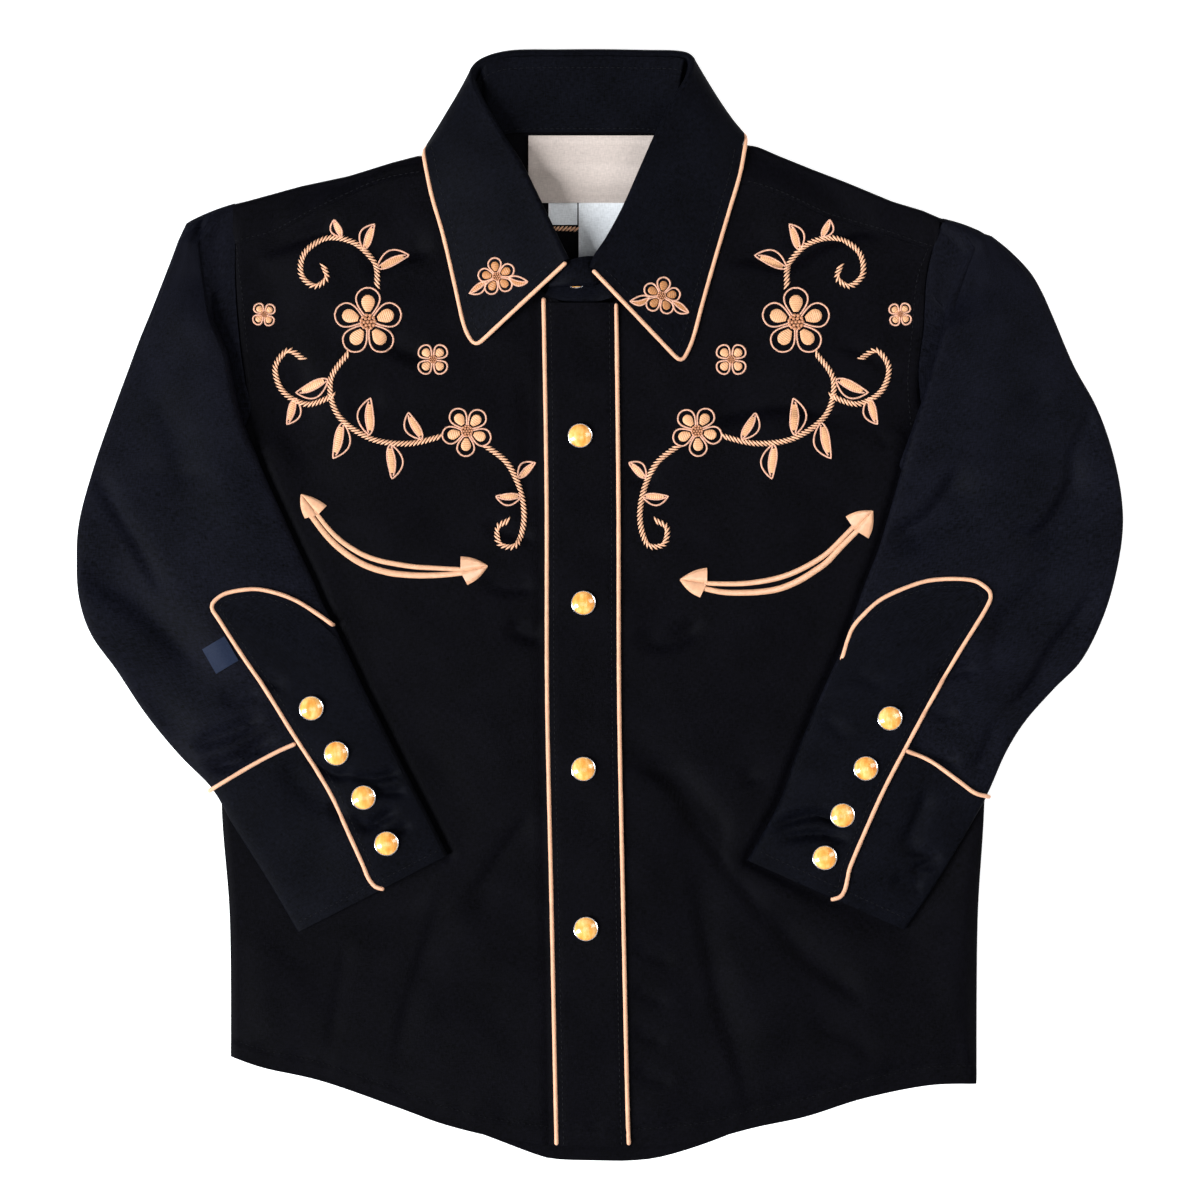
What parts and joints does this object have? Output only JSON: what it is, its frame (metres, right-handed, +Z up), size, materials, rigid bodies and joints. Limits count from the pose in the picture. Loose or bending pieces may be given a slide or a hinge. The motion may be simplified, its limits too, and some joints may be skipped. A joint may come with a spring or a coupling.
{
  "type": "western snap shirt",
  "caption": "Child's long-sleeved western shirt with piped collar, cuffs and front, pearl snaps and smile pockets, laid flat face up.",
  "frame": {"origin": "centre of the shirt's outline on the surface it lies on", "axes": "+Z up off the surface, +Y from hem to collar, +X towards the wearer's left"},
  "size_m": [0.4605, 0.4897, 0.0189],
  "materials": {
    "black_cloth": "matt black poplin with a slight navy cast",
    "piping": "satin-covered cord, peach",
    "embroidery_thread": "glossy rayon thread, peach",
    "pearl_snap": "pearl cap in a polished metal rim",
    "label_cream": "woven satin ribbon, cream",
    "label_white": "plain printed tape, white, bare",
    "tab_navy": "woven tape, navy"
  },
  "bodies": {
    "root": {"back_body": "black_cloth", "front_right": "black_cloth", "front_left": "black_cloth", "yoke": "black_cloth", "sleeve_right": "black_cloth", "sleeve_left": "black_cloth", "cuff_right": "black_cloth", "cuff_left": "black_cloth", "placket": "black_cloth", "collar_leaf": "black_cloth", "collar_stand": "black_cloth", "band_right": "black_cloth", "band_left": "black_cloth", "piping_placket_right": "piping", "piping_placket_left": "piping", "piping_collar": "piping", "piping_band_right": "piping", "piping_band_left": "piping", "piping_cuff_right": "piping", "piping_cuff_left": "piping", "welt_right_upper": "piping", "welt_right_lower": "piping", "welt_left_upper": "piping", "welt_left_lower": "piping", "arrowhead_right_outer": "embroidery_thread", "arrowhead_right_inner": "embroidery_thread", "arrowhead_left_inner": "embroidery_thread", "arrowhead_left_outer": "embroidery_thread", "snap_front_1": "pearl_snap", "snap_front_2": "pearl_snap", "snap_front_3": "pearl_snap", "snap_front_4": "pearl_snap", "snap_cuff_right_1": "pearl_snap", "snap_cuff_right_2": "pearl_snap", "snap_cuff_right_3": "pearl_snap", "snap_cuff_right_4": "pearl_snap", "snap_cuff_left_1": "pearl_snap", "snap_cuff_left_2": "pearl_snap", "snap_cuff_left_3": "pearl_snap", "snap_cuff_left_4": "pearl_snap", "snap_collar": "pearl_snap", "label_main": "label_cream", "label_size": "label_white", "label_care": "label_white", "label_tab": "tab_navy"}
  },
  "joints": []
}
